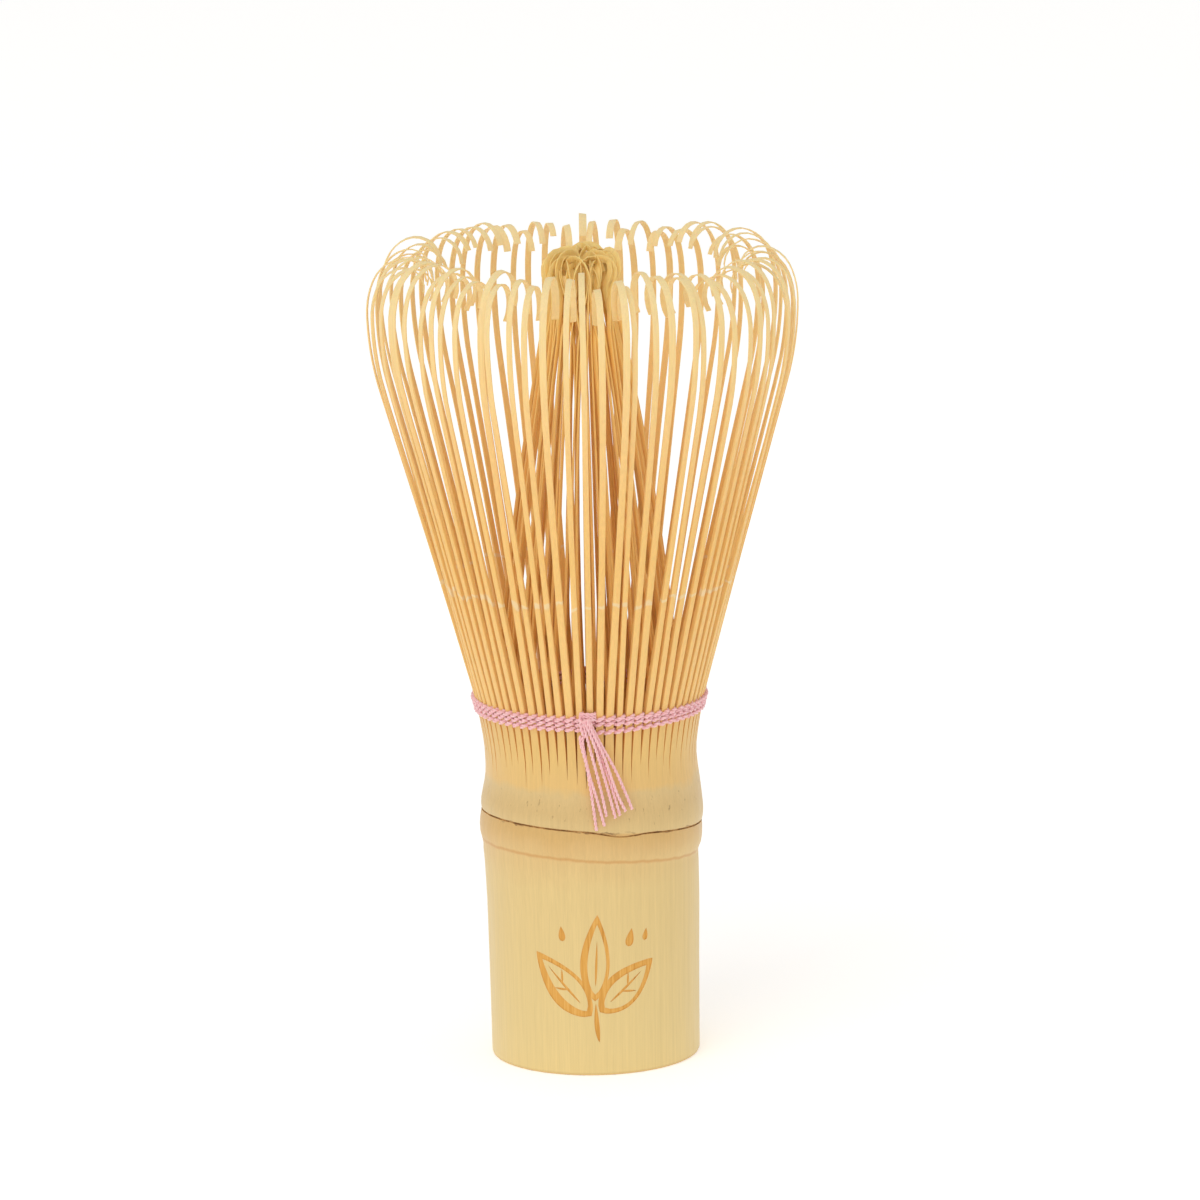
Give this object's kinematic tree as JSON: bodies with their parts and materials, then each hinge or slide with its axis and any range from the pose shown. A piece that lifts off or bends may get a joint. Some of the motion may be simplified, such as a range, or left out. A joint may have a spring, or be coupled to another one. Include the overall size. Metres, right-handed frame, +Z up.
{
  "type": "bamboo tea whisk",
  "caption": "Bamboo whisk for powdered tea: a culm handle split above its node into splayed outer tines with curled tips and a gathered inner bundle, bound with twined thread.",
  "frame": {"origin": "middle of the whisk's foot, at the height of the rim it stands on", "axes": "+Z up along the culm to the tips of the tines, -Y towards the front, where the knot and the engraving are"},
  "size_m": [0.0562, 0.0562, 0.1088],
  "materials": {
    "culm_skin": "smooth dried bamboo skin, satin",
    "outer_bamboo": "split and shaved bamboo, matt, paler and translucent at the tips",
    "inner_bamboo": "split and shaved bamboo flesh, matt",
    "pink_thread": "twisted cotton thread, matt"
  },
  "bodies": {
    "whisk_body": {"culm_handle": "culm_skin", "inner_tines_01": "inner_bamboo", "inner_tines_02": "inner_bamboo", "inner_tines_03": "inner_bamboo", "inner_tines_04": "inner_bamboo", "inner_tines_05": "inner_bamboo", "inner_tines_06": "inner_bamboo", "inner_tines_07": "inner_bamboo", "inner_tines_08": "inner_bamboo", "inner_tines_09": "inner_bamboo", "inner_tines_10": "inner_bamboo", "inner_tines_11": "inner_bamboo", "inner_tines_12": "inner_bamboo", "thread_row_1": "pink_thread", "thread_row_2": "pink_thread", "thread_row_3": "pink_thread", "thread_knot": "pink_thread", "thread_end_1": "pink_thread", "thread_end_2": "pink_thread", "thread_end_3": "pink_thread", "thread_end_4": "pink_thread", "thread_end_5": "pink_thread", "thread_end_6": "pink_thread", "thread_end_7": "pink_thread"},
    "outer_tines_01": {"outer_tines_01": "outer_bamboo"},
    "outer_tines_02": {"outer_tines_02": "outer_bamboo"},
    "outer_tines_03": {"outer_tines_03": "outer_bamboo"},
    "outer_tines_04": {"outer_tines_04": "outer_bamboo"},
    "outer_tines_05": {"outer_tines_05": "outer_bamboo"},
    "outer_tines_06": {"outer_tines_06": "outer_bamboo"},
    "outer_tines_07": {"outer_tines_07": "outer_bamboo"},
    "outer_tines_08": {"outer_tines_08": "outer_bamboo"},
    "outer_tines_09": {"outer_tines_09": "outer_bamboo"},
    "outer_tines_10": {"outer_tines_10": "outer_bamboo"},
    "outer_tines_11": {"outer_tines_11": "outer_bamboo"},
    "outer_tines_12": {"outer_tines_12": "outer_bamboo"},
    "outer_tines_13": {"outer_tines_13": "outer_bamboo"},
    "outer_tines_14": {"outer_tines_14": "outer_bamboo"},
    "outer_tines_15": {"outer_tines_15": "outer_bamboo"},
    "outer_tines_16": {"outer_tines_16": "outer_bamboo"},
    "outer_tines_17": {"outer_tines_17": "outer_bamboo"},
    "outer_tines_18": {"outer_tines_18": "outer_bamboo"},
    "outer_tines_19": {"outer_tines_19": "outer_bamboo"},
    "outer_tines_20": {"outer_tines_20": "outer_bamboo"},
    "outer_tines_21": {"outer_tines_21": "outer_bamboo"},
    "outer_tines_22": {"outer_tines_22": "outer_bamboo"},
    "outer_tines_23": {"outer_tines_23": "outer_bamboo"},
    "outer_tines_24": {"outer_tines_24": "outer_bamboo"}
  },
  "joints": [
    {"name": "outer_flex_01", "type": "hinge", "parent": "whisk_body", "child": "outer_tines_01", "pos_m": [0, -0.01453, 0.0481], "axis": [1, 0, 0], "range_deg": [-3, 5], "stiffness_Nm_per_rad": 0.03},
    {"name": "outer_flex_02", "type": "hinge", "parent": "whisk_body", "child": "outer_tines_02", "pos_m": [0.00376, -0.01404, 0.0481], "axis": [0.9659, 0.2588, 0], "range_deg": [-3, 5], "stiffness_Nm_per_rad": 0.03},
    {"name": "outer_flex_03", "type": "hinge", "parent": "whisk_body", "child": "outer_tines_03", "pos_m": [0.00726, -0.01258, 0.0481], "axis": [0.866, 0.5, 0], "range_deg": [-3, 5], "stiffness_Nm_per_rad": 0.03},
    {"name": "outer_flex_04", "type": "hinge", "parent": "whisk_body", "child": "outer_tines_04", "pos_m": [0.01027, -0.01027, 0.0481], "axis": [0.7071, 0.7071, 0], "range_deg": [-3, 5], "stiffness_Nm_per_rad": 0.03},
    {"name": "outer_flex_05", "type": "hinge", "parent": "whisk_body", "child": "outer_tines_05", "pos_m": [0.01258, -0.00726, 0.0481], "axis": [0.5, 0.866, 0], "range_deg": [-3, 5], "stiffness_Nm_per_rad": 0.03},
    {"name": "outer_flex_06", "type": "hinge", "parent": "whisk_body", "child": "outer_tines_06", "pos_m": [0.01404, -0.00376, 0.0481], "axis": [0.2588, 0.9659, 0], "range_deg": [-3, 5], "stiffness_Nm_per_rad": 0.03},
    {"name": "outer_flex_07", "type": "hinge", "parent": "whisk_body", "child": "outer_tines_07", "pos_m": [0.01453, 0, 0.0481], "axis": [0, 1, 0], "range_deg": [-3, 5], "stiffness_Nm_per_rad": 0.03},
    {"name": "outer_flex_08", "type": "hinge", "parent": "whisk_body", "child": "outer_tines_08", "pos_m": [0.01404, 0.00376, 0.0481], "axis": [-0.2588, 0.9659, 0], "range_deg": [-3, 5], "stiffness_Nm_per_rad": 0.03},
    {"name": "outer_flex_09", "type": "hinge", "parent": "whisk_body", "child": "outer_tines_09", "pos_m": [0.01258, 0.00726, 0.0481], "axis": [-0.5, 0.866, 0], "range_deg": [-3, 5], "stiffness_Nm_per_rad": 0.03},
    {"name": "outer_flex_10", "type": "hinge", "parent": "whisk_body", "child": "outer_tines_10", "pos_m": [0.01027, 0.01027, 0.0481], "axis": [-0.7071, 0.7071, 0], "range_deg": [-3, 5], "stiffness_Nm_per_rad": 0.03},
    {"name": "outer_flex_11", "type": "hinge", "parent": "whisk_body", "child": "outer_tines_11", "pos_m": [0.00726, 0.01258, 0.0481], "axis": [-0.866, 0.5, 0], "range_deg": [-3, 5], "stiffness_Nm_per_rad": 0.03},
    {"name": "outer_flex_12", "type": "hinge", "parent": "whisk_body", "child": "outer_tines_12", "pos_m": [0.00376, 0.01404, 0.0481], "axis": [-0.9659, 0.2588, 0], "range_deg": [-3, 5], "stiffness_Nm_per_rad": 0.03},
    {"name": "outer_flex_13", "type": "hinge", "parent": "whisk_body", "child": "outer_tines_13", "pos_m": [0, 0.01453, 0.0481], "axis": [-1, 0, 0], "range_deg": [-3, 5], "stiffness_Nm_per_rad": 0.03},
    {"name": "outer_flex_14", "type": "hinge", "parent": "whisk_body", "child": "outer_tines_14", "pos_m": [-0.00376, 0.01404, 0.0481], "axis": [-0.9659, -0.2588, 0], "range_deg": [-3, 5], "stiffness_Nm_per_rad": 0.03},
    {"name": "outer_flex_15", "type": "hinge", "parent": "whisk_body", "child": "outer_tines_15", "pos_m": [-0.00726, 0.01258, 0.0481], "axis": [-0.866, -0.5, 0], "range_deg": [-3, 5], "stiffness_Nm_per_rad": 0.03},
    {"name": "outer_flex_16", "type": "hinge", "parent": "whisk_body", "child": "outer_tines_16", "pos_m": [-0.01027, 0.01027, 0.0481], "axis": [-0.7071, -0.7071, 0], "range_deg": [-3, 5], "stiffness_Nm_per_rad": 0.03},
    {"name": "outer_flex_17", "type": "hinge", "parent": "whisk_body", "child": "outer_tines_17", "pos_m": [-0.01258, 0.00726, 0.0481], "axis": [-0.5, -0.866, 0], "range_deg": [-3, 5], "stiffness_Nm_per_rad": 0.03},
    {"name": "outer_flex_18", "type": "hinge", "parent": "whisk_body", "child": "outer_tines_18", "pos_m": [-0.01404, 0.00376, 0.0481], "axis": [-0.2588, -0.9659, 0], "range_deg": [-3, 5], "stiffness_Nm_per_rad": 0.03},
    {"name": "outer_flex_19", "type": "hinge", "parent": "whisk_body", "child": "outer_tines_19", "pos_m": [-0.01453, 0, 0.0481], "axis": [0, -1, 0], "range_deg": [-3, 5], "stiffness_Nm_per_rad": 0.03},
    {"name": "outer_flex_20", "type": "hinge", "parent": "whisk_body", "child": "outer_tines_20", "pos_m": [-0.01404, -0.00376, 0.0481], "axis": [0.2588, -0.9659, 0], "range_deg": [-3, 5], "stiffness_Nm_per_rad": 0.03},
    {"name": "outer_flex_21", "type": "hinge", "parent": "whisk_body", "child": "outer_tines_21", "pos_m": [-0.01258, -0.00726, 0.0481], "axis": [0.5, -0.866, 0], "range_deg": [-3, 5], "stiffness_Nm_per_rad": 0.03},
    {"name": "outer_flex_22", "type": "hinge", "parent": "whisk_body", "child": "outer_tines_22", "pos_m": [-0.01027, -0.01027, 0.0481], "axis": [0.7071, -0.7071, 0], "range_deg": [-3, 5], "stiffness_Nm_per_rad": 0.03},
    {"name": "outer_flex_23", "type": "hinge", "parent": "whisk_body", "child": "outer_tines_23", "pos_m": [-0.00726, -0.01258, 0.0481], "axis": [0.866, -0.5, 0], "range_deg": [-3, 5], "stiffness_Nm_per_rad": 0.03},
    {"name": "outer_flex_24", "type": "hinge", "parent": "whisk_body", "child": "outer_tines_24", "pos_m": [-0.00376, -0.01404, 0.0481], "axis": [0.9659, -0.2588, 0], "range_deg": [-3, 5], "stiffness_Nm_per_rad": 0.03}
  ]
}
